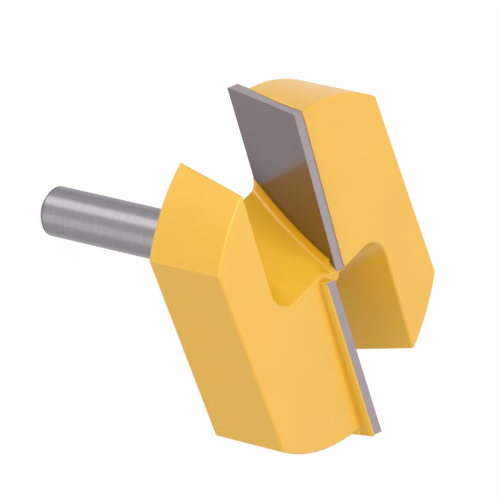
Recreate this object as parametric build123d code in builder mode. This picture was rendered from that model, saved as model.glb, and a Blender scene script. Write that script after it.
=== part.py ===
from build123d import *

import os
from math import cos, hypot, radians, sin, sqrt, tan

# A bottom cleaning router bit: a wide, flat head with two carbide cutting edges across its face, on a
# plain round shank. The body is turned from one bar, two flats are milled on the head, and a milling wheel
# sinks a slanted chip gullet in front of each carbide plate. The plates are brazed into open seats.
#
# Millimetres and degrees. The origin is the centre of the shank's free end, +Z runs along the spin axis to
# the cutting end, and +X runs along the cutting edge of plate 1. The bit is the same after half a turn.

# Shank and neck
shank_diameter = 8.0
shank_length = 41.0
shank_chamfer = 0.6
neck_diameter = 13.0
neck_length = 4.0
neck_root_radius = 1.2
neck_shoulder_chamfer = 0.8

# Head
head_diameter = 55.7
head_height = 13.4
flat_width = 43.0
flat_turn = 4.1
head_edge_radius = 0.4
pip_base_diameter = 3.8
pip_top_diameter = 1.8
pip_height = 0.95

# Cutting edges and carbide plates
cutting_diameter = 60.0
edge_stand_out = 1.6
edge_offset = 0.3
dish_angle = 1.2
axial_rake = 12.0
plate_thickness = 2.1
plate_corner_radius = 0.3
plate_end_gap = 0.8
plate_end_slant = 20.0
foot_sink = 1.75
bottom_relief = 3.0
side_relief = 20.0
blank_overrun = 2.0

# Chip gullets
gullet_width = 13.45
gullet_reach = 11.1
web_thickness = 2.4
wheel_radius = 40.0
wall_corner_radius = 4.8
foot_corner_radius = 1.0
foot_ledge = 0.15

# Braze
braze_gap = 0.1
bead_leg = 0.5

# Heights of the head's two faces and of the cutting edges' outer corners
back_z = shank_length
face_z = back_z + head_height
edge_z = face_z + edge_stand_out
cutting_radius = cutting_diameter / 2

# The rake plane of plate 1 holds its cutting edge's outer corner, passes behind the axis by the edge's offset
# and leans back towards the shank. Its own x runs outwards along the plate, its own y down the plate.
rake_normal = (0, cos(radians(axial_rake)), -sin(radians(axial_rake)))
rake_plane = Plane(origin=(0, -edge_offset, edge_z), x_dir=(1, 0, 0), z_dir=rake_normal)


def down_plate(z):
    """Distance down the rake plane from the edges' level to height z."""
    return (edge_z - z) / cos(radians(axial_rake))


def on_rake_plane(x, z):
    """Point of the rake plane at distance x from the axis and height z."""
    return Vector(x, (z - edge_z) * tan(radians(axial_rake)) - edge_offset, z)


# The gullet's floor is an arc of the milling wheel. It leaves half the web at the head's face and reaches
# out to gullet_reach at the head's back.
floor_run = gullet_reach - web_thickness / 2
floor_chord = hypot(floor_run, head_height)
floor_lean = floor_run / head_height
wheel_offset = sqrt(wheel_radius**2 - (floor_chord / 2) ** 2)
wheel_x = (gullet_reach + web_thickness / 2) / 2 + wheel_offset * head_height / floor_chord
wheel_z = (face_z + back_z) / 2 + wheel_offset * floor_run / floor_chord

# A disc long enough to be cut to the rim's width by slanted planes
disc_length = 4 * gullet_width

# Outer corners of the plate: both ends of the side edge lie on the cutting circle
back_corner_y = down_plate(back_z) * sin(radians(axial_rake)) + edge_offset
outer_top = on_rake_plane(sqrt(cutting_radius**2 - edge_offset**2), edge_z)
outer_back = on_rake_plane(sqrt(cutting_radius**2 - back_corner_y**2), back_z)


def end_plane(margin=0.0):
    """Plane of a plate's inner end, moved inwards by margin. It slants, so that the plate is longer at its
    back than along the cutting edge."""
    slant, lean = radians(plate_end_slant), radians(axial_rake)
    return Plane(
        origin=on_rake_plane(plate_end_gap / 2 - margin / cos(slant), edge_z),
        z_dir=(cos(slant), -sin(slant) * cos(lean), sin(slant) * sin(lean)),
    )


def plate_outline(margin=0.0):
    """Outline of a plate on the rake plane: grown by margin at its foot, and run on past its ground sides
    and its inner end."""
    inner_x = plate_end_gap / 2 - blank_overrun
    foot_x = gullet_reach - foot_sink - margin * hypot(1, floor_lean)
    drop = (cutting_radius - inner_x) * tan(radians(dish_angle))
    foot_z = back_z + (foot_x - inner_x) / floor_lean
    end_z = back_z - blank_overrun
    Polyline(
        (inner_x, drop - blank_overrun),
        (outer_top.X + blank_overrun, -blank_overrun * (1 + tan(radians(dish_angle)))),
        (outer_back.X + blank_overrun, down_plate(end_z)),
        (foot_x + floor_lean * blank_overrun, down_plate(end_z)),
        (inner_x, down_plate(foot_z)),
        close=True,
    )


def rings_at(part, z):
    """Round edges of a part that lie at height z, the smallest first."""
    near = 0.001
    rings = part.edges().filter_by(GeomType.CIRCLE).filter_by_position(Axis.Z, z - near, z + near)
    return rings.sort_by(SortBy.RADIUS)


# Carbide plate: a flat blank, then ground on the bottom, on the side and flush with the head's back
with BuildPart() as plate_blank:
    with BuildSketch(rake_plane):
        with BuildLine():
            plate_outline()
        make_face()
    extrude(amount=-plate_thickness)
    edge_run = Vector(cos(radians(dish_angle)), 0, sin(radians(dish_angle)))
    bottom_fall = Vector(0, -cos(radians(bottom_relief)), -sin(radians(bottom_relief)))
    split(bisect_by=Plane(outer_top, x_dir=edge_run, z_dir=bottom_fall.cross(edge_run)), keep=Keep.BOTTOM)
    side_run = outer_back - outer_top
    side_fall = Vector(-sin(radians(side_relief)), -cos(radians(side_relief)), 0)
    split(bisect_by=Plane(outer_top, x_dir=side_run, z_dir=side_fall.cross(side_run)), keep=Keep.BOTTOM)
    split(bisect_by=Plane.XY.offset(back_z), keep=Keep.TOP)
    split(bisect_by=end_plane(), keep=Keep.TOP)
    inner_end = plate_blank.faces().sort_by(Axis.X)[0]
    side = plate_blank.faces().sort_by(Axis.X)[-1]
    inner_corners = inner_end.edges().filter_by(Axis((0, 0, 0), rake_plane.y_dir))
    back_corner = side.edges().sort_by(Axis.Z)[0]
    fillet([*inner_corners, back_corner], plate_corner_radius)

# Seat for a plate: the plate's form grown by the braze gap, open at the face, the rim and the back
with BuildPart() as seat_cutter:
    with BuildSketch(rake_plane):
        with BuildLine():
            plate_outline(margin=braze_gap)
        make_face()
    extrude(amount=-plate_thickness - braze_gap)
    split(bisect_by=end_plane(margin=braze_gap), keep=Keep.TOP)

# Gullet: the milling wheel's rim between the plate's face and the wall. The wheel's corners leave a tight
# fillet at the plate's foot, up to a ledge as thin as it is tall, and a wide one at the wall.
with BuildPart() as gullet_cutter:
    with Locations((wheel_x, 0, wheel_z)):
        Cylinder(wheel_radius, disc_length, rotation=(90, 0, 0))
    split(bisect_by=rake_plane.offset(gullet_width), keep=Keep.BOTTOM)
    split(bisect_by=rake_plane.offset(foot_ledge), keep=Keep.TOP)
    rims = gullet_cutter.edges().filter_by(GeomType.ELLIPSE).sort_by(Axis.Y)
    fillet(rims[-1], wall_corner_radius)
    rims = gullet_cutter.edges().filter_by(GeomType.ELLIPSE).sort_by(Axis.Y)
    fillet(rims[0], foot_corner_radius)

with BuildPart() as ledge_cutter:
    with Locations((wheel_x, 0, wheel_z)):
        Cylinder(wheel_radius - foot_corner_radius - foot_ledge, disc_length, rotation=(90, 0, 0))
    split(bisect_by=rake_plane.offset(gullet_width / 2), keep=Keep.BOTTOM)
    split(bisect_by=rake_plane, keep=Keep.TOP)


def on_outline(edge):
    """Whether an edge is on the head's outline or a gullet's mouth in its face, clear of the pip and the
    plates' feet."""
    near = 0.001
    if edge.bounding_box().min.Z > face_z - near:
        middle = edge.position_at(0.5)
        clear_of_pip = hypot(middle.X, middle.Y) > pip_base_diameter / 2 + near
        return clear_of_pip and abs(middle.Y) > web_thickness / 2
    return min(hypot(end.X, end.Y) for end in edge.vertices()) > head_diameter / 2 - near


# Body before the seats are cut: the head with its flats, the pip, the neck and the shank. Its edges are
# rounded as deburring and enamel leave them.
with BuildPart() as gulleted_body:
    with BuildSketch(Plane.XY.offset(back_z)):
        Circle(head_diameter / 2)
        Rectangle(head_diameter, flat_width, rotation=flat_turn, mode=Mode.INTERSECT)
    extrude(amount=head_height)
    with BuildSketch(Plane.YZ):
        with BuildLine():
            Polyline(
                (0, face_z + pip_height),
                (pip_top_diameter / 2, face_z + pip_height),
                (pip_base_diameter / 2, face_z),
                (pip_base_diameter / 2, back_z),
                (neck_diameter / 2, back_z),
                (neck_diameter / 2, back_z - neck_length),
                (shank_diameter / 2, back_z - neck_length),
                (shank_diameter / 2, shank_chamfer),
                (shank_diameter / 2 - shank_chamfer, 0),
                (0, 0),
                close=True,
            )
        make_face()
    revolve(axis=Axis.Z)
    fillet(rings_at(gulleted_body, back_z)[0], neck_root_radius)
    chamfer(rings_at(gulleted_body, back_z - neck_length)[-1], neck_shoulder_chamfer)
    with PolarLocations(0, 2):
        add(gullet_cutter.part, mode=Mode.SUBTRACT)
        add(ledge_cutter.part, mode=Mode.SUBTRACT)
    fillet(gulleted_body.edges().filter_by(on_outline), head_edge_radius)

with BuildPart() as bit_body:
    add(gulleted_body.part)
    with PolarLocations(0, 2):
        add(seat_cutter.part, mode=Mode.SUBTRACT)
bit_body.part.label = "bit_body"

# Braze: what the seat holds beside the plate, with a bead where the plate's back leaves the head's face
back_y = on_rake_plane(0, face_z).Y - plate_thickness / cos(radians(axial_rake))
bead_end_x = sqrt((head_diameter / 2 - head_edge_radius) ** 2 - back_y**2) - bead_leg
with BuildPart() as braze_film:
    add(seat_cutter.part)
    add(gulleted_body.part, mode=Mode.INTERSECT)
    add(plate_blank.part, mode=Mode.SUBTRACT)
    with BuildSketch(Plane.YZ.offset(plate_end_gap / 2)):
        with BuildLine():
            heel = (back_y, face_z)
            toe = (back_y - bead_leg, face_z)
            lean = radians(axial_rake)
            top = (back_y + bead_leg * sin(lean), face_z + bead_leg * cos(lean))
            Line(toe, heel)
            Line(heel, top)
            RadiusArc(top, toe, bead_leg * tan((radians(90) + lean) / 2))
        make_face()
    extrude(amount=bead_end_x - plate_end_gap / 2)

os.makedirs("parts", exist_ok=True)
export_step(bit_body.part, "parts/bit_body.step")
for turn in range(2):
    with BuildPart() as cutter_plate:
        add(plate_blank.part, rotation=(0, 0, 180 * turn))
    cutter_plate.part.label = f"cutter_plate_{turn + 1}"
    export_step(cutter_plate.part, f"parts/cutter_plate_{turn + 1}.step")
    with BuildPart() as braze_seam:
        add(braze_film.part, rotation=(0, 0, 180 * turn))
    braze_seam.part.label = f"braze_seam_{turn + 1}"
    export_step(braze_seam.part, f"parts/braze_seam_{turn + 1}.step")
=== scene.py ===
# Dresses the solids of a bottom cleaning router bit: semi-gloss yellow enamel on the head and the neck, a
# ground steel shank, diamond-ground carbide plates, and the enamel that runs up the plates' backs.
#
# The frame is the part's own, in metres: the origin is the centre of the shank's free end and +Z runs along
# the spin axis to the cutting end. Values whose names end in MM or _mm are millimetres.

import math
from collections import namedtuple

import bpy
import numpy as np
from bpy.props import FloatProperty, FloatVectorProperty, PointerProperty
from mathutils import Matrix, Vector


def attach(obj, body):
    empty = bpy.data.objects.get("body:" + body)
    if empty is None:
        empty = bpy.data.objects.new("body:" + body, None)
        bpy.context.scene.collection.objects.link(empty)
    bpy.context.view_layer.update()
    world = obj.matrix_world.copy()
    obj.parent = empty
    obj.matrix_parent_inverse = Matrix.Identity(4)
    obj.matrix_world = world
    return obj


bl_info = {
    "name": "Bottom Cleaning Router Bit",
    "version": (1, 0, 0),
    "blender": (4, 5, 0),
    "location": "3D View > Sidebar > Router Bit",
    "description": "Finishes a bottom cleaning router bit in enamel, ground steel and carbide",
    "category": "Object",
}

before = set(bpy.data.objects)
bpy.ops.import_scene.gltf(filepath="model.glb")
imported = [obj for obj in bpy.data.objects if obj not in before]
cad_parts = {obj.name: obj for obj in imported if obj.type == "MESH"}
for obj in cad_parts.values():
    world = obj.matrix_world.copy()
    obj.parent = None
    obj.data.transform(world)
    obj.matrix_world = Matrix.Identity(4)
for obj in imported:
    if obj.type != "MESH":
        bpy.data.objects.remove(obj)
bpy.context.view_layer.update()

MM = 0.001
SIDEWAYS = np.array([1.0, 0.0, 0.0])
UPWARDS = np.array([0.0, 0.0, 1.0])

# Sizes of the solids that the enamel follows
SHANK_RADIUS_MM = 4.0
SHANK_CHAMFER_MM = 0.6
NECK_END_MM = 37.0
BACK_MM = 41.0
FACE_MM = 54.4
EDGE_MM = 56.0
HEAD_RADIUS_MM = 27.85
HEAD_EDGE_RADIUS_MM = 0.4
FLAT_HALF_WIDTH_MM = 21.5
FLAT_TURN = math.radians(4.1)
CUTTING_RADIUS_MM = 30.0
PLATE_THICKNESS_MM = 2.1
PLATE_INNER_END_MM = 0.4
PLATE_END_SLANT = math.radians(20.0)
EDGE_OFFSET_MM = 0.3
AXIAL_RAKE = math.radians(12.0)
DISH = math.radians(1.2)
BOTTOM_RELIEF = math.radians(3.0)
SIDE_RELIEF = math.radians(20.0)
INNER_END_LENGTH_MM = PLATE_THICKNESS_MM / math.cos(PLATE_END_SLANT)

# The enamel on a plate's back swells at both ends and thins out towards the head's back. It keeps a least
# share of its thickness, so that no face has a zero area, and its hollow and lap start at a larger one.
END_SWELL_MM = 0.35
LEAST_SHARE = 0.004
START_SHARE = 0.25
REAR_THINNING_MM = 12.0
REAR_FILM_SHARE = 0.03
REAR_GAP_MM = 0.05

# Its lap on the lands grows past the plate's inner corner, and leaves the last of the side land bare
CORNER_RUN_MM = 1.2
LAP_GROWTH_MM = 7.0
BARE_LAND_MM = 2.1

# Its round-over onto the land, as shares of the film, and how deep its hidden ends lie
LIP_HEIGHT = 2.0
LIP_BULGE = 0.35
SUNK_MM = 0.03
DEEP_MM = 0.05

# How finely the enamel's surfaces are divided
END_ROWS = 24
FAN_ROWS = 13
RUN_ROWS = 90
TURN_ROWS = 25
DROP_ROWS = 50
ROUND_STEPS = 9
STRAIGHT_STEPS = 6
FIRST_STRAIGHT_SHARE = 0.15
RING_STEPS = 192

# The enamel's edge on the shank, and its waves: height in millimetres, count round the shank and start
EDGE_FILM_MM = 0.09
EDGE_SUNK_MM = 0.005
EDGE_DROP_MM = 0.75
EDGE_BAND_MM = 0.8
EDGE_INSIDE_MM = 0.3
EDGE_WAVES = ((0.10, 3, 0.4), (0.06, 7, 1.9), (0.03, 17, 0.0))

# Where painted shade darkens the enamel and painted bounce light makes it more yellow: each pair runs from
# none to all
CENTRE_SHADE_MM = (2.6, 1.4)
FOOT_SHADE_MM = (0.9, 0.6)
GULLET_DEPTH_MM = (0.1, 0.6)
GULLET_FACE_DEPTH_MM = (0.1, 0.8)
SHADE_ABOVE_FACE_MM = (-0.3, 0.0)
SHADE_BELOW_EDGE_MM = (0.01, -0.05)

# The spacing of each finish's pattern, how high its ripples or marks stand and how far its shade drifts
ENAMEL_DRIFT_MM = 14.0
SHANK_MARKS_MM = 2.4
SHANK_MARKS_STRETCH = (1.0, 1.0, 8.0)
PLATE_MARKS_MM = 1.5
PLATE_MARKS_STRETCH = (6.0, 0.4, 1.0)
ENAMEL_DRIFT = 0.04
SHANK_DRIFT = 0.14
LAND_DRIFT = 0.15
RAKE_FACE_DRIFT = 0.06
BUMP_STRENGTH = 0.35
BUMP_MM = 0.02
PLATE_BUMP_STRENGTH = 0.25
PLATE_BUMP_MM = 0.01

# A plate's face is its rake face where the share of its normal along Y is above this
RAKE_FACE_NORMAL = 0.9

# Painted shade on the shank's chamfer and just above it, from plain to darkest, and the enamel's start below
# the neck
CHAMFER_PAINTED_SHADE = 0.5
CHAMFER_SHADE_MM = (0.35, 0.15)
MASK_MARGIN_MM = 0.1

# The studio: angles in degrees, lengths in metres, lamps by right, up and back of the camera's aim
AIM_MM = (-5.789, -4.768, 44.157)
LAMP_SIZE = 0.5
LAMP_PLACES = {"key": (0.30, 0.25, 0.55), "front": (0.0, 0.0, 0.68), "fill": (0.0, -0.50, 0.45)}
STRIP_LIGHTS = ((184, 1.0), (266, 0.35))
STRIP_HALF_WIDTH = 19
STRIP_SOFTNESS = 5
BACKDROP_RISE = (0.25, 0.6)
TABLE_RISE = (-0.6, -0.85)
FLOOR_HALF_WIDTH = 3.0
FLOOR_GLOW = 1.05
FLOOR_GLOW_SHARE = 0.9

PlateBack = namedtuple("PlateBack", "origin up outward land side inner corner rear")


def linear(colour):
    """An sRGB hex colour as linear red, green and blue."""
    parts = [int(colour[i:i + 2], 16) / 255 for i in (1, 3, 5)]
    return tuple(p / 12.92 if p <= 0.04045 else ((p + 0.055) / 1.055) ** 2.4 for p in parts)


def rgba(colour, gain=1.0):
    """A colour with alpha, made lighter or darker by a gain."""
    return (*(min(channel * gain, 1.0) for channel in colour), 1.0)


WHITE = rgba(linear("#FFFFFF"))


class RouterBitFinish(bpy.types.PropertyGroup):
    """Finishes and paint sizes that a user would change."""

    enamel: FloatVectorProperty(
        name="Enamel", description="Colour of the enamel", subtype="COLOR", default=linear("#F3BB38"))
    # Painted shade: darkens the enamel at the plates' feet, between their inner ends and up their backs
    pooled_tint: FloatVectorProperty(
        name="Painted shade tint", description="Multiplies the enamel's colour in its painted shade", subtype="COLOR",
        default=linear("#EDEA89"))
    # Painted bounce light: multiplies the enamel's colour in the gullets to make it more yellow
    gullet_tint: FloatVectorProperty(
        name="Painted bounce tint", description="Multiplies the enamel's colour in the gullets, as painted bounce light", subtype="COLOR",
        default=linear("#FFFFCE"))
    enamel_roughness: FloatProperty(
        name="Enamel roughness", description="Semi-gloss at 0.3, matt at 0.6", default=0.33, min=0.05,
        max=1)
    enamel_gloss: FloatProperty(
        name="Enamel gloss", description="Mirror share of the enamel, 0.5 for plain paint", default=0.8,
        min=0, max=1)
    orange_peel_mm: FloatProperty(
        name="Orange peel", description="Spacing of the enamel's ripples in millimetres", default=1.6,
        min=0.1)
    steel: FloatVectorProperty(
        name="Ground steel", description="Colour of the bare shank", subtype="COLOR",
        default=linear("#B2AEB2"))
    steel_edge: FloatVectorProperty(
        name="Steel at a glance", description="Tint of the bare shank where it is seen edge on",
        subtype="COLOR", default=linear("#CBCBCB"))
    steel_roughness: FloatProperty(
        name="Steel roughness", description="Fine grinding gives 0.26", default=0.26, min=0.05, max=1)
    carbide: FloatVectorProperty(
        name="Carbide", description="Colour of the plates' rake faces", subtype="COLOR",
        default=linear("#807577"))
    land: FloatVectorProperty(
        name="Ground land", description="Colour of the plates' ground lands", subtype="COLOR",
        default=linear("#ABA1A6"))
    carbide_roughness: FloatProperty(
        name="Carbide roughness", description="Finely ground rake faces", default=0.22, min=0.05, max=1)
    land_roughness: FloatProperty(
        name="Land roughness", description="Lands are ground coarser", default=0.38, min=0.05, max=1)
    film_mm: FloatProperty(
        name="Enamel film", description="Thickness of the enamel on a plate's back in millimetres",
        default=0.3, min=0.02, max=0.5)
    fillet_mm: FloatProperty(
        name="Enamel fillet", description="Leg of the enamel's hollow at a plate's foot in millimetres",
        default=0.12, min=0.05, max=1)
    lap_mm: FloatVectorProperty(
        name="Enamel laps", description="Width of each bottom land that the enamel covers, in millimetres",
        size=2, default=(0.44, 0.2), min=0.0, max=1.0)
    side_lap_mm: FloatProperty(
        name="Side lap", description="Width of side land that the enamel covers, in millimetres", default=0.5,
        min=0.0, max=1.0)


class RouterBitStage(bpy.types.PropertyGroup):
    """Camera and light."""

    distance: FloatProperty(
        name="Distance", description="From the camera to the point it aims at", unit="LENGTH",
        default=0.81706)
    azimuth: FloatProperty(
        name="Azimuth", description="Camera's direction round the spin axis", unit="ROTATION",
        default=math.radians(-133.918))
    elevation: FloatProperty(
        name="Elevation", description="Camera's height above the horizon", unit="ROTATION",
        default=math.radians(36.027))
    roll: FloatProperty(
        name="Roll", description="Turn of the camera about its own line of sight", unit="ROTATION",
        default=math.radians(103.006))
    focal_length: FloatProperty(
        name="Focal length", description="In millimetres, for a 36 mm sensor", default=389.13)
    ambient: FloatProperty(
        name="Ambient", description="Strength of the even light from all round", default=0.38, min=0)
    backdrop: FloatProperty(
        name="Backdrop", description="Strength of the light from behind the object", default=0.8, min=0)
    key: FloatProperty(
        name="Key", description="Power of the lamp beside the camera, in watts", default=2.55)
    front: FloatProperty(
        name="Front", description="Power of the lamp in front of the object, in watts", default=0.85)
    fill: FloatProperty(
        name="Fill", description="Power of the lamp below the camera, in watts", default=0.87)
    room: FloatProperty(
        name="Room", description="Strength that gloss sees round the camera", default=0.58, min=0)
    strip: FloatProperty(
        name="Strip light", description="Strength that the brighter strip light adds in gloss", default=0.8,
        min=0)


def add_node(tree, kind, inputs=(), **settings):
    """Adds a node with its settings. Each input is a value, a socket to link, or a node, of which the first
    output in use is linked."""
    node = tree.nodes.new(kind)
    for name, value in settings.items():
        setattr(node, name, value)
    for socket, value in dict(inputs).items():
        if isinstance(value, bpy.types.Node):
            value = next(output for output in value.outputs if output.enabled)
        if isinstance(value, bpy.types.NodeSocket):
            tree.links.new(value, node.inputs[socket])
        else:
            node.inputs[socket].default_value = value
    return node


def start_material(name):
    """An empty node material, with its tree, its shader and its object coordinates."""
    material = bpy.data.materials.new(name)
    material.use_nodes = True
    tree = material.node_tree
    tree.nodes.clear()
    shader = add_node(tree, "ShaderNodeBsdfPrincipled")
    add_node(tree, "ShaderNodeOutputMaterial", {"Surface": shader})
    place = add_node(tree, "ShaderNodeTexCoord").outputs["Object"]
    return material, tree, shader, place


def gullet_share(tree, place, reach):
    """1 in the two gullets and 0 on the head's skin: a gullet is what lies well inside the rim, the flats,
    the face and the back."""
    parts = add_node(tree, "ShaderNodeSeparateXYZ", {"Vector": place})
    across = (-math.sin(FLAT_TURN), math.cos(FLAT_TURN), 0.0)
    to_flat = add_node(tree, "ShaderNodeVectorMath", {0: place, 1: across}, operation="DOT_PRODUCT")
    off_middle = add_node(tree, "ShaderNodeMath", {0: to_flat}, operation="ABSOLUTE")
    share = 1.0
    for length, limit, sign, (none, full) in (
            (reach, HEAD_RADIUS_MM, -1, GULLET_DEPTH_MM),
            (off_middle, FLAT_HALF_WIDTH_MM, -1, GULLET_DEPTH_MM),
            (parts.outputs["Z"], FACE_MM, -1, GULLET_FACE_DEPTH_MM),
            (parts.outputs["Z"], BACK_MM, 1, GULLET_DEPTH_MM)):
        inside = add_node(
            tree, "ShaderNodeMapRange",
            {"Value": length, "From Min": (limit + sign * none) * MM, "From Max": (limit + sign * full) * MM},
            interpolation_type="SMOOTHSTEP")
        share = add_node(tree, "ShaderNodeMath", {0: share, 1: inside}, operation="MULTIPLY")
    return share


def foot_share(tree, place):
    """1 close to the rake plane of the nearer plate, where the corner at the plate's foot gets painted shade,
    and 0 well in front of it. The distance in front of that plane is y, turned with the plate and measured
    from the cutting edge, times the cosine of the rake less the height above the edge times its sine."""
    parts = add_node(tree, "ShaderNodeSeparateXYZ", {"Vector": place})
    side = add_node(tree, "ShaderNodeMath", {0: parts.outputs["X"]}, operation="SIGN")
    depth = add_node(
        tree, "ShaderNodeMath", {0: parts.outputs["Y"], 1: side, 2: EDGE_OFFSET_MM * MM},
        operation="MULTIPLY_ADD")
    lean = add_node(
        tree, "ShaderNodeMath",
        {0: parts.outputs["Z"], 1: -math.sin(AXIAL_RAKE), 2: EDGE_MM * MM * math.sin(AXIAL_RAKE)},
        operation="MULTIPLY_ADD")
    ahead = add_node(
        tree, "ShaderNodeMath", {0: depth, 1: math.cos(AXIAL_RAKE), 2: lean}, operation="MULTIPLY_ADD")
    none, full = FOOT_SHADE_MM
    return add_node(
        tree, "ShaderNodeMapRange", {"Value": ahead, "From Min": none * MM, "From Max": full * MM},
        interpolation_type="SMOOTHSTEP")


def deepen(tree, colour, amount, finish):
    """The enamel's colour darkened by a share: painted shade."""
    return add_node(
        tree, "ShaderNodeMix", {"Factor": amount, "A": colour, "B": rgba(finish.pooled_tint)},
        data_type="RGBA", blend_type="MULTIPLY")


def enamel_colour(tree, place, finish):
    """Enamel: sprayed and baked, so its shade drifts a little over the size of a thumb. In the gullets it is
    made more yellow, which is painted bounce light from the walls onto each other, and it is darkened along
    the plates' feet and between their inner ends, which is painted shade in those corners."""
    drift = add_node(
        tree, "ShaderNodeTexNoise", {"Vector": place, "Scale": 1 / (ENAMEL_DRIFT_MM * MM), "Detail": 2.0})
    shade = add_node(
        tree, "ShaderNodeMix",
        {"Factor": drift.outputs["Fac"], "A": rgba(finish.enamel, 1 - ENAMEL_DRIFT),
         "B": rgba(finish.enamel, 1 + ENAMEL_DRIFT)},
        data_type="RGBA")
    level = add_node(tree, "ShaderNodeVectorMath", {0: place, 1: (1.0, 1.0, 0.0)}, operation="MULTIPLY")
    reach = add_node(tree, "ShaderNodeVectorMath", {0: level}, operation="LENGTH")
    gullet = gullet_share(tree, place, reach)
    # Painted bounce light: the enamel made more yellow in the gullets
    painted_bounce = add_node(
        tree, "ShaderNodeMix", {"Factor": gullet, "A": shade, "B": rgba(finish.gullet_tint)},
        data_type="RGBA", blend_type="MULTIPLY")
    # Painted shade along the plates' feet in the gullets, where the corner lies in shade
    foot = add_node(
        tree, "ShaderNodeMath", {0: gullet, 1: foot_share(tree, place)}, operation="MULTIPLY")
    # Painted shade between the plates' inner ends, darkest near the spin axis
    none, full = CENTRE_SHADE_MM
    centre = add_node(
        tree, "ShaderNodeMapRange", {"Value": reach, "From Min": none * MM, "From Max": full * MM},
        interpolation_type="SMOOTHSTEP")
    painted_shade = add_node(tree, "ShaderNodeMath", {0: foot, 1: centre}, operation="MAXIMUM")
    return deepen(tree, painted_bounce, painted_shade, finish)


def orange_peel(tree, place, finish):
    """Orange peel: the low ripples that sprayed enamel dries with."""
    ripple = add_node(
        tree, "ShaderNodeTexNoise",
        {"Vector": place, "Scale": 1 / (finish.orange_peel_mm * MM), "Detail": 1.0, "Roughness": 0.4})
    return ripple.outputs["Fac"]


def lay_enamel(tree, shader, place, colour, finish):
    """Gives a shader the enamel's semi-gloss coat, with soft highlights and slight ripples."""
    bump = add_node(
        tree, "ShaderNodeBump",
        {"Height": orange_peel(tree, place, finish), "Strength": BUMP_STRENGTH, "Distance": BUMP_MM * MM})
    tree.links.new(colour.outputs["Result"], shader.inputs["Base Color"])
    tree.links.new(bump.outputs["Normal"], shader.inputs["Normal"])
    shader.inputs["Roughness"].default_value = finish.enamel_roughness
    shader.inputs["Specular IOR Level"].default_value = finish.enamel_gloss


def baked_enamel(finish):
    """Baked enamel, sprayed: one even coat."""
    material, tree, shader, place = start_material("baked_enamel")
    lay_enamel(tree, shader, place, enamel_colour(tree, place, finish), finish)
    return material


def pooled_enamel(finish):
    """Baked enamel with painted shade: darkened from the head's face up the plate's back, which faces
    sideways and stands in the corner at the plate's foot, and plain again at the plate's edge, which falls
    inwards with the dish."""
    material, tree, shader, place = start_material("pooled_enamel")
    parts = add_node(tree, "ShaderNodeSeparateXYZ", {"Vector": place})
    out = add_node(tree, "ShaderNodeMath", {0: parts.outputs["X"]}, operation="ABSOLUTE")
    height = add_node(
        tree, "ShaderNodeMath", {0: out, 1: -math.tan(DISH), 2: parts.outputs["Z"]}, operation="MULTIPLY_ADD")
    edge_height = EDGE_MM - CUTTING_RADIUS_MM * math.tan(DISH)
    # Painted shade on the plate's back, by height from the head's face to just below the plate's edge
    painted_shade = 1.0
    for level, limit, (none, full) in (
            (parts.outputs["Z"], FACE_MM, SHADE_ABOVE_FACE_MM), (height, edge_height, SHADE_BELOW_EDGE_MM)):
        step = add_node(
            tree, "ShaderNodeMapRange",
            {"Value": level, "From Min": (limit + none) * MM, "From Max": (limit + full) * MM},
            interpolation_type="SMOOTHSTEP")
        painted_shade = add_node(tree, "ShaderNodeMath", {0: painted_shade, 1: step}, operation="MULTIPLY")
    colour = deepen(tree, enamel_colour(tree, place, finish), painted_shade, finish)
    lay_enamel(tree, shader, place, colour, finish)
    return material


def ground_shank_colour(tree, place, marks, finish):
    """Steel, centreless ground: fine marks lighten and darken it; its chamfer is darkened as painted shade.
    """
    parts = add_node(tree, "ShaderNodeSeparateXYZ", {"Vector": place})
    bare = add_node(
        tree, "ShaderNodeMix",
        {"Factor": marks.outputs["Fac"], "A": rgba(finish.steel, 1 - SHANK_DRIFT),
         "B": rgba(finish.steel, 1 + SHANK_DRIFT)},
        data_type="RGBA")
    # Painted shade: the steel darkened on the chamfer and just above it
    none, full = CHAMFER_SHADE_MM
    turned = add_node(
        tree, "ShaderNodeMapRange",
        {"Value": parts.outputs["Z"], "From Min": (SHANK_CHAMFER_MM + none) * MM,
         "From Max": (SHANK_CHAMFER_MM + full) * MM},
        interpolation_type="SMOOTHSTEP")
    return add_node(
        tree, "ShaderNodeMix", {"Factor": turned, "A": bare, "B": rgba(finish.steel, CHAMFER_PAINTED_SHADE)},
        data_type="RGBA")


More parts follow.
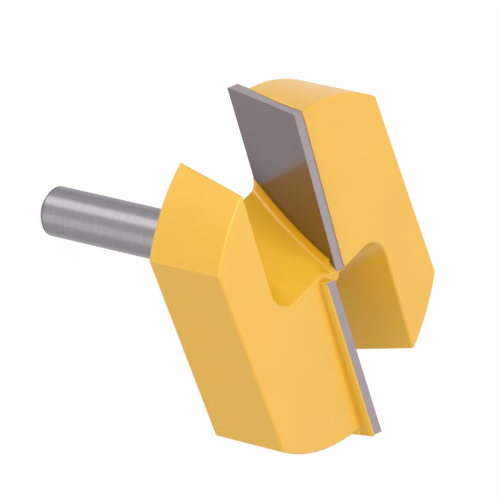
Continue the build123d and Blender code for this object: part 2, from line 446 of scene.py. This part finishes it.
def enamelled_and_ground_steel(finish):
    """Turned steel bar, centreless ground on the shank and enamelled from the neck up. The bare steel shows
    marks round the shank and a darkened chamfer, which is painted shade; the enamel is the same coat as on
    the plates, with its painted shade and painted bounce light. Real grinding marks are finer than 0.1 mm, so
    they are drawn coarser here, about 0.3 mm apart, to show."""
    material, tree, shader, place = start_material("enamelled_and_ground_steel")
    parts = add_node(tree, "ShaderNodeSeparateXYZ", {"Vector": place})
    painted = add_node(
        tree, "ShaderNodeMath", {0: parts.outputs["Z"], 1: (NECK_END_MM - MASK_MARGIN_MM) * MM},
        operation="GREATER_THAN")
    metal = add_node(tree, "ShaderNodeMath", {0: 1.0, 1: painted}, operation="SUBTRACT")
    marks_place = add_node(tree, "ShaderNodeMapping", {"Vector": place, "Scale": SHANK_MARKS_STRETCH})
    marks = add_node(
        tree, "ShaderNodeTexNoise",
        {"Vector": marks_place, "Scale": 1 / (SHANK_MARKS_MM * MM), "Detail": 3.0, "Roughness": 0.7})
    height = add_node(
        tree, "ShaderNodeMix",
        {"Factor": painted, "A": marks.outputs["Fac"], "B": orange_peel(tree, place, finish)},
        data_type="FLOAT")
    bump = add_node(
        tree, "ShaderNodeBump", {"Height": height, "Strength": BUMP_STRENGTH, "Distance": BUMP_MM * MM})
    steel = ground_shank_colour(tree, place, marks, finish)
    enamel = enamel_colour(tree, place, finish)
    for socket, kind, bare, coat in (
            ("Base Color", "RGBA", steel, enamel),
            ("Specular Tint", "RGBA", rgba(finish.steel_edge), WHITE),
            ("Specular IOR Level", "FLOAT", 0.5, finish.enamel_gloss),
            ("Roughness", "FLOAT", finish.steel_roughness, finish.enamel_roughness)):
        both = add_node(tree, "ShaderNodeMix", {"Factor": painted, "A": bare, "B": coat}, data_type=kind)
        tree.links.new(both.outputs["Result"], shader.inputs[socket])
    tree.links.new(metal.outputs["Value"], shader.inputs["Metallic"])
    tree.links.new(bump.outputs["Normal"], shader.inputs["Normal"])
    return material


def ground_carbide(finish):
    """Tungsten carbide, sintered and diamond-ground: a dark grey metal whose lands are ground coarser and
    look lighter than the rake face. A face is a rake face when its normal is nearly along Y. The marks are
    drawn coarser than the real ones, which are finer than 0.1 mm, so that they show."""
    material, tree, shader, place = start_material("ground_carbide")
    normal = add_node(tree, "ShaderNodeTexCoord").outputs["Normal"]
    parts = add_node(tree, "ShaderNodeSeparateXYZ", {"Vector": normal})
    across = add_node(tree, "ShaderNodeMath", {0: parts.outputs["Y"]}, operation="ABSOLUTE")
    rake = add_node(tree, "ShaderNodeMath", {0: across, 1: RAKE_FACE_NORMAL}, operation="GREATER_THAN")
    marks_place = add_node(tree, "ShaderNodeMapping", {"Vector": place, "Scale": PLATE_MARKS_STRETCH})
    marks = add_node(
        tree, "ShaderNodeTexNoise",
        {"Vector": marks_place, "Scale": 1 / (PLATE_MARKS_MM * MM), "Detail": 3.0, "Roughness": 0.6})
    land, face = (
        add_node(
            tree, "ShaderNodeMix",
            {"Factor": marks.outputs["Fac"], "A": rgba(shade, 1 - drift), "B": rgba(shade, 1 + drift)},
            data_type="RGBA")
        for shade, drift in ((finish.land, LAND_DRIFT), (finish.carbide, RAKE_FACE_DRIFT)))
    colour = add_node(tree, "ShaderNodeMix", {"Factor": rake, "A": land, "B": face}, data_type="RGBA")
    rough = add_node(
        tree, "ShaderNodeMix", {"Factor": rake, "A": finish.land_roughness, "B": finish.carbide_roughness},
        data_type="FLOAT")
    bump = add_node(
        tree, "ShaderNodeBump",
        {"Height": marks.outputs["Fac"], "Strength": PLATE_BUMP_STRENGTH, "Distance": PLATE_BUMP_MM * MM})
    tree.links.new(colour.outputs["Result"], shader.inputs["Base Color"])
    tree.links.new(rough.outputs["Result"], shader.inputs["Roughness"])
    tree.links.new(bump.outputs["Normal"], shader.inputs["Normal"])
    shader.inputs["Metallic"].default_value = 1.0
    return material


def named_material(maker, finish):
    """The material of that maker's name, made once."""
    return bpy.data.materials.get(maker.__name__) or maker(finish)


def tube_mesh(name, points, close_round=False):
    """A closed mesh through a grid of points: each row is a ring, each four neighbours make a face, and the
    rows either close into a ring too or end in a face."""
    rows, columns = points.shape[:2]
    index = np.arange(rows * columns).reshape(rows, columns)
    ends = [] if close_round else [index[0].tolist(), index[-1, ::-1].tolist()]
    if close_round:
        index = np.concatenate([index, index[:1]])
    index = np.concatenate([index, index[:, :1]], 1)
    quads = np.stack([index[:-1, :-1], index[1:, :-1], index[1:, 1:], index[:-1, 1:]], -1).reshape(-1, 4)
    mesh = bpy.data.meshes.new(name)
    mesh.from_pydata(points.reshape(-1, 3).tolist(), [], quads.tolist() + ends)
    mesh.polygons.foreach_set("use_smooth", np.arange(len(mesh.polygons)) < len(quads))
    mesh.update()
    return mesh


def place_piece(name, mesh, material):
    """Links a new piece, gives it its material and puts it on the part's one body."""
    piece = bpy.data.objects.new(name, mesh)
    bpy.context.scene.collection.objects.link(piece)
    mesh.materials.append(material)
    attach(piece, "root")
    return piece


def plane_through(point, along, across):
    """A plane as its unit normal and its distance, from a point and two directions in it."""
    normal = np.cross(along, across)
    normal = normal / np.linalg.norm(normal)
    return normal, normal @ np.asarray(point, float)


def meet(*planes):
    """The point where three planes meet."""
    return np.linalg.solve(np.array([p[0] for p in planes]), np.array([p[1] for p in planes]))


def plate_back():
    """The back of plate 1: its origin on the head's face, its direction up towards the cutting end, its
    outward normal, and the planes of the bottom land and the side land. In its own plane, as x and height:
    the top edge's inner end, the outer corner and the side edge's end at the head's back."""
    up = np.array([0, math.sin(AXIAL_RAKE), math.cos(AXIAL_RAKE)])
    outward = np.array([0, -math.cos(AXIAL_RAKE), math.sin(AXIAL_RAKE)])
    edge_corner = np.array([math.sqrt(CUTTING_RADIUS_MM**2 - EDGE_OFFSET_MM**2), -EDGE_OFFSET_MM, EDGE_MM])
    back = (outward, outward @ edge_corner + PLATE_THICKNESS_MM)
    land = plane_through(
        edge_corner, (math.cos(DISH), 0, math.sin(DISH)),
        (0, math.cos(BOTTOM_RELIEF), math.sin(BOTTOM_RELIEF)))
    back_fall = (EDGE_MM - BACK_MM) * math.tan(AXIAL_RAKE) + EDGE_OFFSET_MM
    side_end = np.array([math.sqrt(CUTTING_RADIUS_MM**2 - back_fall**2), -back_fall, BACK_MM])
    side = plane_through(
        edge_corner, side_end - edge_corner, (math.sin(SIDE_RELIEF), math.cos(SIDE_RELIEF), 0))
    inner_x = PLATE_INNER_END_MM - PLATE_THICKNESS_MM * math.tan(PLATE_END_SLANT)
    origin = meet(back, (UPWARDS, FACE_MM), (SIDEWAYS, 0.0))
    inner = meet(back, land, (SIDEWAYS, inner_x))
    corner = meet(back, land, side)
    rear = meet(back, side, (UPWARDS, BACK_MM))
    flat = (np.array([point[0], (point - origin) @ up]) for point in (inner, corner, rear))
    return PlateBack(origin, up, outward, land, side, *flat)


def in_space(back, x, height):
    """Points of the back's own plane, given by x and height, in space."""
    return back.origin + np.outer(x, SIDEWAYS) + np.outer(height, back.up)


def rim_x(back, height):
    """The x of the head's rim, at a height on the plate's back."""
    return np.sqrt(HEAD_RADIUS_MM**2 - (back.origin[1] + height * back.up[1]) ** 2)


def side_x(back, height):
    """The x of the plate's side edge, at a height on its back."""
    slope = (back.rear[0] - back.corner[0]) / (back.rear[1] - back.corner[1])
    return back.corner[0] + slope * (height - back.corner[1])


def top_height(back, x):
    """The height of the plate's top edge, which falls inwards with the dish."""
    return np.interp(x, [back.inner[0], back.corner[0]], [back.inner[1], back.corner[1]])


def round_inner_end(back):
    """The path round the plate's inner end: straight along its foot from the rake face to the back, and there
    a fan that turns from the end's normal to the back's in equal angles. Gives the foot, the free edge and
    the normal of the plate on each row."""
    slant, lean = PLATE_END_SLANT, AXIAL_RAKE
    outward = np.array([
        -math.cos(slant), math.sin(slant) * math.cos(lean), -math.sin(slant) * math.sin(lean)])
    along = np.array([math.sin(slant), math.cos(slant) / math.cos(lean), 0])
    corner = back.origin + back.inner[0] * SIDEWAYS
    steps = np.linspace(INNER_END_LENGTH_MM, 0, END_ROWS)[:, None]
    turned = np.linspace(0, 1, FAN_ROWS)[1:-1, None]
    angle = math.acos(outward @ back.outward)
    fan = (np.sin((1 - turned) * angle) * outward + np.sin(turned * angle) * back.outward) / math.sin(angle)
    foot = np.concatenate([corner + steps * along, np.tile(corner, (len(fan), 1))])
    facing = np.concatenate([np.tile(outward, (len(steps), 1)), fan])
    normal, distance = back.land
    height = (distance - foot @ normal) / (back.up @ normal)
    return foot, foot + np.outer(height, back.up), facing


def along_back(back):
    """The path on the plate's back: along the head's face, in a quarter circle round the head's edge and down
    its rim. The free edge follows the plate's top edge, turns at its corner half way round the head's edge,
    and follows its side edge. The bend is how far the head's skin has turned, 0 on the face and a right angle
    on the rim. Gives the foot, the free edge and the bend on each row."""
    radius = HEAD_EDGE_RADIUS_MM
    turn_x = rim_x(back, 0.0) - radius
    run = np.linspace(back.inner[0], turn_x, RUN_ROWS)[:-1]
    angle = np.linspace(0, math.pi / 2, TURN_ROWS)
    drop = np.linspace(-radius, (BACK_MM - FACE_MM) / back.up[2] + REAR_GAP_MM, DROP_ROWS)[1:]
    foot_x = np.concatenate([run, turn_x + radius * np.sin(angle), rim_x(back, drop)])
    foot_height = np.concatenate([np.zeros(len(run)), radius * np.cos(angle) - radius, drop])
    stops = (0, math.pi / 4, math.pi / 2)
    corner_x = np.interp(angle, stops, (turn_x, back.corner[0], side_x(back, -radius)))
    corner_height = np.interp(angle, stops, (top_height(back, turn_x), back.corner[1], -radius))
    free_x = np.concatenate([run, corner_x, side_x(back, drop)])
    free_height = np.concatenate([top_height(back, run), corner_height, drop])
    bend = np.concatenate([np.zeros(len(run)), angle, np.full(len(drop), math.pi / 2)])
    return in_space(back, foot_x, foot_height), in_space(back, free_x, free_height), bend


def enamel_path(back):
    """The whole path of the enamel on a plate, and the normal of the head's skin along it."""
    end_foot, end_free, end_facing = round_inner_end(back)
    back_foot, back_free, back_bend = along_back(back)
    foot = np.concatenate([end_foot, back_foot])
    free = np.concatenate([end_free, back_free])
    facing = np.concatenate([end_facing, np.tile(back.outward, (len(back_foot), 1))])
    bend = np.concatenate([np.zeros(len(end_foot)), back_bend])[:, None]
    skin = np.hstack([np.sin(bend) * foot[:, :2] / HEAD_RADIUS_MM, np.cos(bend)])
    return foot, free, facing, skin, bend / (math.pi / 2)


def enamel_sizes(finish, lap, travelled, on_rim):
    """The film's thickness, the hollow's leg and the lap on each row of the path, and the share of the run
    past the inner corner. The film swells in a quarter circle from both ends and thins evenly towards the
    head's back. The lap changes from the bottom land's to the side land's round the head's edge."""
    left = travelled[-1] - travelled
    from_end = np.minimum(travelled, left)
    swell = np.sqrt(1 - (1 - np.clip(from_end / END_SWELL_MM, LEAST_SHARE, 1)) ** 2)
    past_corner = np.clip((travelled - INNER_END_LENGTH_MM) / CORNER_RUN_MM, 0, 1)
    film = finish.film_mm * swell * np.clip(left / REAR_THINNING_MM + REAR_FILM_SHARE, 0, 1)
    leg = finish.fillet_mm * (START_SHARE + (1 - START_SHARE) * swell)
    lap = (lap + (finish.side_lap_mm - lap) * on_rim) * swell
    lap = lap * (START_SHARE + (1 - START_SHARE) * past_corner)
    lap = lap * np.clip((left - BARE_LAND_MM) / LAP_GROWTH_MM, LEAST_SHARE, 1)
    return film, leg, lap, past_corner


def enamel_profile(film, leg, lap, reach):
    """The enamel's section on each row of the path: how far each point lies up the plate, how far off it and
    how far over its land. From a hidden column it starts below the head's skin, leaves the head in a quarter
    circle, runs up the plate at the film's thickness, rounds over in a quarter ellipse onto the land and ends
    below it."""
    quarter = np.linspace(0, math.pi / 2, ROUND_STEPS)
    over = quarter[1:]
    straight = np.linspace(FIRST_STRAIGHT_SHARE, 1, STRAIGHT_STEPS)
    none = np.zeros_like(film)
    lip = LIP_HEIGHT * film
    along = np.hstack([
        none - SUNK_MM, none - SUNK_MM, leg * (1 - np.cos(quarter)), leg + (reach - lip - leg) * straight,
        reach - lip + (lip + LIP_BULGE * film) * np.sin(over), reach - SUNK_MM])
    off = np.hstack([
        none - DEEP_MM, film + leg + DEEP_MM, film + leg * (1 - np.sin(quarter)),
        np.repeat(film, len(straight), axis=1), (film + lap) * np.cos(over) - lap, -lap])
    unlapped = np.zeros((len(film), 2 + len(quarter) + len(straight)))
    slid = np.hstack([unlapped, lap * np.sin(over), lap])
    return along, off, slid


def slide_on_lands(back, foot, facing, past_corner):
    """How a point of the lap moves for each millimetre that it goes over, so that it stays on the sloping
    lands: up with the bottom land and, past the inner corner, out with the side land."""
    land, side = back.land[0], back.side[0]
    up = np.outer(facing @ land / (back.up @ land), back.up)
    out = past_corner * (back.outward @ side) / (SIDEWAYS @ side) * SIDEWAYS
    return up + out * np.clip(foot[:, :1] / back.corner[0], 0, 1)


def enamel_on_back(finish, lap):
    """The enamel on the back of plate 1, as a profile carried along the line where the plate leaves the head.
    A point is the path's foot, plus its share of the way up the plate, plus its distance off the plate. That
    distance is along the head's skin at the foot and along the plate's normal above the hollow."""
    back = plate_back()
    foot, free, facing, skin, on_rim = enamel_path(back)
    reach = np.linalg.norm(free - foot, axis=1)[:, None]
    rise = (free - foot) / reach
    away = facing - (skin * facing).sum(1)[:, None] * skin
    away = away / np.linalg.norm(away, axis=1)[:, None]
    travelled = np.concatenate([[0], np.cumsum(np.linalg.norm(np.diff(foot, axis=0), axis=1))])[:, None]
    film, leg, lap, past_corner = enamel_sizes(finish, lap, travelled, on_rim)
    along, off, slid = enamel_profile(film, leg, lap, reach)
    slide = slide_on_lands(back, foot, facing, past_corner)

    on_skin = np.clip(1 - along / leg, 0, 1)[..., None]
    direction = away[:, None, :] * on_skin + facing[:, None, :] * (1 - on_skin)
    direction = direction / np.linalg.norm(direction, axis=2)[..., None]
    return (
        foot[:, None, :] + along[..., None] * rise[:, None, :] + off[..., None] * direction
        + slid[..., None] * slide[:, None, :])


def enamel_edge_on_shank():
    """The enamel's edge on the shank: a thin ring whose lower rim wanders a little, as paint does at a mask.
    A point goes round the shank with one parameter and across the film with the other. Across, the film
    swells as the square root of one less a cube, and round, the rim moves by three sine waves. The ring
    closes inside the shank."""
    turn = np.linspace(0, 2 * math.pi, RING_STEPS, endpoint=False)[:, None]
    across = np.linspace(0, 1, ROUND_STEPS)[None, :]
    wander = sum(height * np.sin(count * turn + start) for height, count, start in EDGE_WAVES)
    swell = np.sqrt(1 - (1 - across) ** 3)
    radius = np.tile(SHANK_RADIUS_MM - EDGE_SUNK_MM + EDGE_FILM_MM * swell, (len(turn), 1))
    height = NECK_END_MM - EDGE_DROP_MM + wander * (1 - across) + EDGE_BAND_MM * across
    radius = np.hstack([radius, np.full_like(turn, SHANK_RADIUS_MM - DEEP_MM)])
    height = np.hstack([height, np.full_like(turn, NECK_END_MM - EDGE_INSIDE_MM)])
    return np.stack([radius * np.cos(turn), radius * np.sin(turn), height], -1)


class ROUTERBIT_OT_body(bpy.types.Operator):
    """Finish the body: enamel on the head and neck, bare ground steel on the shank"""

    bl_idname = "routerbit.finish_body"
    bl_label = "Finish body"

    def execute(self, context):
        finish = context.scene.router_bit_finish
        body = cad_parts["bit_body"]
        body.material_slots[0].material = named_material(enamelled_and_ground_steel, finish)
        edge = tube_mesh("enamel_edge", enamel_edge_on_shank() * MM, close_round=True)
        place_piece("enamel_edge", edge, named_material(baked_enamel, finish))
        return {"FINISHED"}


class ROUTERBIT_OT_plates(bpy.types.Operator):
    """Finish the carbide plates and the braze that holds them"""

    bl_idname = "routerbit.finish_plates"
    bl_label = "Finish plates"

    def execute(self, context):
        finish = context.scene.router_bit_finish
        for number in (1, 2):
            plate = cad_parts[f"cutter_plate_{number}"]
            plate.material_slots[0].material = named_material(ground_carbide, finish)
            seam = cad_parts[f"braze_seam_{number}"]
            # The braze seams get the enamel with painted shade
            seam.material_slots[0].material = named_material(pooled_enamel, finish)
        return {"FINISHED"}


class ROUTERBIT_OT_back_enamel(bpy.types.Operator):
    """Lay the enamel on the plates' backs, down to its hollow on the head"""

    bl_idname = "routerbit.enamel_backs"
    bl_label = "Enamel plates' backs"

    def execute(self, context):
        finish = context.scene.router_bit_finish
        for number, side, lap in ((1, 1.0, finish.lap_mm[0]), (2, -1.0, finish.lap_mm[1])):
            turned = enamel_on_back(finish, lap) * MM * np.array([side, side, 1.0])
            piece = tube_mesh(f"back_enamel_{number}", turned)
            place_piece(f"back_enamel_{number}", piece, named_material(pooled_enamel, finish))
        return {"FINISHED"}


def add_floor():
    """A plain pale floor under the shank's end, white to the lens, that keeps a faint shadow. Gloss looks
    through it to the room."""
    half = FLOOR_HALF_WIDTH
    mesh = bpy.data.meshes.new("floor")
    mesh.from_pydata(
        [(-half, -half, 0), (half, -half, 0), (half, half, 0), (-half, half, 0)], [], [(0, 1, 2, 3)])
    floor = bpy.data.objects.new("floor", mesh)
    bpy.context.scene.collection.objects.link(floor)
    material = bpy.data.materials.new("floor")
    material.use_nodes = True
    tree = material.node_tree
    tree.nodes.clear()
    matt = add_node(tree, "ShaderNodeBsdfDiffuse", {"Color": rgba(linear("#E6E6E6"))})
    glow = add_node(tree, "ShaderNodeEmission", {"Color": WHITE, "Strength": FLOOR_GLOW})
    camera_ray = add_node(tree, "ShaderNodeLightPath").outputs["Is Camera Ray"]
    share = add_node(tree, "ShaderNodeMath", {0: camera_ray, 1: FLOOR_GLOW_SHARE}, operation="MULTIPLY")
    both = add_node(tree, "ShaderNodeMixShader", {0: share, 1: matt, 2: glow})
    add_node(tree, "ShaderNodeOutputMaterial", {"Surface": both})
    mesh.materials.append(material)
    floor.visible_glossy = False


def strip_light(tree, compass, degrees, strength):
    """A strip light that stands upright: its strength round its compass angle, with soft sides."""
    off = add_node(tree, "ShaderNodeMath", {0: compass, 1: math.radians(degrees)}, operation="SUBTRACT")
    towards = add_node(tree, "ShaderNodeMath", {0: off}, operation="COSINE")
    outer = math.radians(STRIP_HALF_WIDTH + STRIP_SOFTNESS)
    inner = math.radians(STRIP_HALF_WIDTH - STRIP_SOFTNESS)
    return add_node(
        tree, "ShaderNodeMapRange",
        {"Value": towards, "From Min": math.cos(outer), "From Max": math.cos(inner), "To Max": strength},
        interpolation_type="SMOOTHSTEP")


def backdrop_share(tree, ray, azimuth):
    """1 where a ray goes to the backdrop behind the object, and 0 all round."""
    behind = (-math.cos(azimuth), -math.sin(azimuth), 0.0)
    along = add_node(tree, "ShaderNodeVectorMath", {0: ray, 1: behind}, operation="DOT_PRODUCT")
    low, high = BACKDROP_RISE
    return add_node(
        tree, "ShaderNodeMapRange", {"Value": along, "From Min": low, "From Max": high},
        interpolation_type="SMOOTHSTEP")


def gloss_light(tree, ray, backdrop, stage):
    """What gloss sees: the backdrop, a white table below, a dimmer room and the strip lights in it."""
    parts = add_node(tree, "ShaderNodeSeparateXYZ", {"Vector": ray})
    low, high = TABLE_RISE
    table = add_node(
        tree, "ShaderNodeMapRange", {"Value": parts.outputs["Z"], "From Min": low, "From Max": high},
        interpolation_type="SMOOTHSTEP")
    white = add_node(tree, "ShaderNodeMath", {0: backdrop, 1: table}, operation="MAXIMUM")
    gloss = add_node(tree, "ShaderNodeMix", {"Factor": white, "A": stage.room, "B": 1.0}, data_type="FLOAT")
    compass = add_node(
        tree, "ShaderNodeMath", {0: parts.outputs["Y"], 1: parts.outputs["X"]}, operation="ARCTAN2")
    for degrees, share in STRIP_LIGHTS:
        strip = strip_light(tree, compass, degrees, share * stage.strip)
        gloss = add_node(tree, "ShaderNodeMath", {0: gloss, 1: strip}, operation="ADD")
    return gloss


def add_world(stage):
    """White to the lens. Matt surfaces see even light with a white backdrop behind the object, and gloss sees
    its own surroundings."""
    world = bpy.data.worlds.new("studio")
    world.use_nodes = True
    tree = world.node_tree
    tree.nodes.clear()
    ray = add_node(tree, "ShaderNodeTexCoord").outputs["Generated"]
    backdrop = backdrop_share(tree, ray, stage.azimuth)
    matt = add_node(
        tree, "ShaderNodeMix", {"Factor": backdrop, "A": stage.ambient, "B": stage.backdrop},
        data_type="FLOAT")
    path = add_node(tree, "ShaderNodeLightPath")
    plain = add_node(
        tree, "ShaderNodeMath", {0: path.outputs["Is Camera Ray"], 1: path.outputs["Is Transmission Ray"]},
        operation="MAXIMUM")
    strength = add_node(tree, "ShaderNodeMix", {"Factor": plain, "A": matt, "B": 1.0}, data_type="FLOAT")
    gloss = gloss_light(tree, ray, backdrop, stage)
    strength = add_node(
        tree, "ShaderNodeMix", {"Factor": path.outputs["Is Glossy Ray"], "A": strength, "B": gloss},
        data_type="FLOAT")
    back = add_node(tree, "ShaderNodeBackground", {"Color": WHITE, "Strength": strength})
    add_node(tree, "ShaderNodeOutputWorld", {"Surface": back})
    bpy.context.scene.world = world


def camera_axes(stage):
    """The camera's right, up and back directions and the point it aims at."""
    back = Vector((
        math.cos(stage.elevation) * math.cos(stage.azimuth),
        math.cos(stage.elevation) * math.sin(stage.azimuth),
        math.sin(stage.elevation)))
    right = Vector((-math.sin(stage.azimuth), math.cos(stage.azimuth), 0))
    up = back.cross(right)
    turn = Matrix((right, up, back)).transposed() @ Matrix.Rotation(stage.roll, 3, "Z")
    return turn, Vector(AIM_MM) * MM


def add_camera(stage):
    """The camera at the photograph's place and angle."""
    turn, aim = camera_axes(stage)
    data = bpy.data.cameras.new("camera")
    data.sensor_width = 36.0
    data.lens = stage.focal_length
    data.clip_start = 0.01
    data.clip_end = 20.0
    camera = bpy.data.objects.new("camera", data)
    camera.matrix_world = Matrix.Translation(aim + turn.col[2] * stage.distance) @ turn.to_4x4()
    bpy.context.scene.collection.objects.link(camera)
    bpy.context.scene.camera = camera


def add_lamp(name, place, target, power):
    """A square soft lamp at a place, turned to its target."""
    data = bpy.data.lights.new(name, "AREA")
    data.shape = "SQUARE"
    data.size = LAMP_SIZE
    data.energy = power
    lamp = bpy.data.objects.new(name, data)
    lamp.location = place
    lamp.rotation_euler = (target - place).to_track_quat("-Z", "Y").to_euler()
    bpy.context.scene.collection.objects.link(lamp)


class ROUTERBIT_OT_stage(bpy.types.Operator):
    """Set the floor, the light and the camera"""

    bl_idname = "routerbit.set_stage"
    bl_label = "Set stage"

    def execute(self, context):
        stage = context.scene.router_bit_stage
        add_floor()
        add_world(stage)
        add_camera(stage)
        turn, aim = camera_axes(stage)
        for name, place in LAMP_PLACES.items():
            add_lamp(name, aim + turn @ Vector(place), aim, getattr(stage, name))
        return {"FINISHED"}


class ROUTERBIT_PT_panel(bpy.types.Panel):
    """Lists the steps and their values"""

    bl_idname = "ROUTERBIT_PT_panel"
    bl_label = "Router Bit"
    bl_space_type = "VIEW_3D"
    bl_region_type = "UI"
    bl_category = "Router Bit"

    def draw(self, context):
        column = self.layout.column(align=True)
        for step in STEPS:
            column.operator(step.bl_idname)
        for group in (context.scene.router_bit_finish, context.scene.router_bit_stage):
            column = self.layout.column(align=True)
            for name in group.__annotations__:
                column.prop(group, name)


STEPS = (ROUTERBIT_OT_body, ROUTERBIT_OT_plates, ROUTERBIT_OT_back_enamel, ROUTERBIT_OT_stage)
CLASSES = (RouterBitFinish, RouterBitStage, *STEPS, ROUTERBIT_PT_panel)


def register():
    for item in CLASSES:
        bpy.utils.register_class(item)
    bpy.types.Scene.router_bit_finish = PointerProperty(type=RouterBitFinish)
    bpy.types.Scene.router_bit_stage = PointerProperty(type=RouterBitStage)


def unregister():
    del bpy.types.Scene.router_bit_stage
    del bpy.types.Scene.router_bit_finish
    for item in reversed(CLASSES):
        bpy.utils.unregister_class(item)


def main():
    """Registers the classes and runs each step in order."""
    register()
    bpy.ops.routerbit.finish_body()
    bpy.ops.routerbit.finish_plates()
    bpy.ops.routerbit.enamel_backs()
    bpy.ops.routerbit.set_stage()
    bpy.context.scene.view_settings.view_transform = "Standard"


if __name__ == "__main__":
    main()
